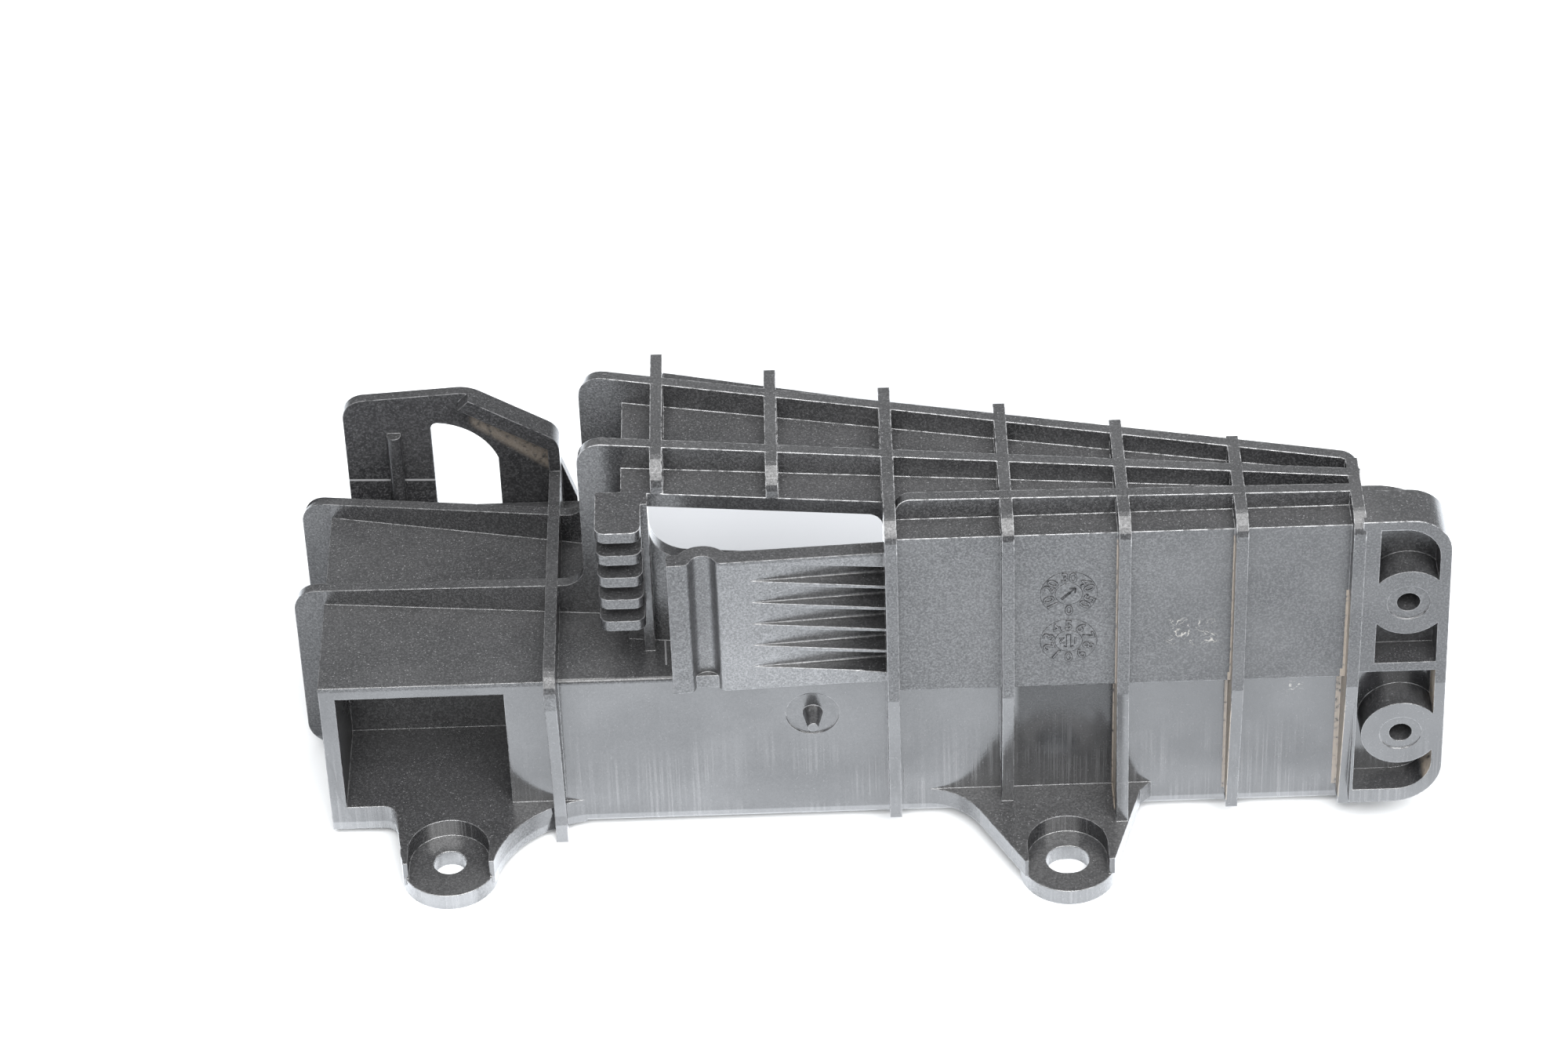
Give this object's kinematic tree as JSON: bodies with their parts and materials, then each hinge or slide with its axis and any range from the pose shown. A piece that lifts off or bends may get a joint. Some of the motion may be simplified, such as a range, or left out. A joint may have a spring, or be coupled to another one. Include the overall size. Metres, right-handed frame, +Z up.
{
  "type": "injection moulded plastic housing",
  "caption": "Black waffle-ribbed moulded housing with an open front pocket, louvred tongue, comb edge and two low screw lugs.",
  "frame": {"origin": "axis of the round lug's screw hole, on the plane the lugs stand on", "axes": "+X along the front toward the end box with two bosses, +Y from the front toward the open back, +Z up out of the standing plane"},
  "size_m": [0.2037, 0.0796, 0.0736],
  "materials": {
    "black_plastic": "fine spark-textured faces with smoother rib edges"
  },
  "bodies": {
    "root": {"housing": "black_plastic"}
  },
  "joints": []
}
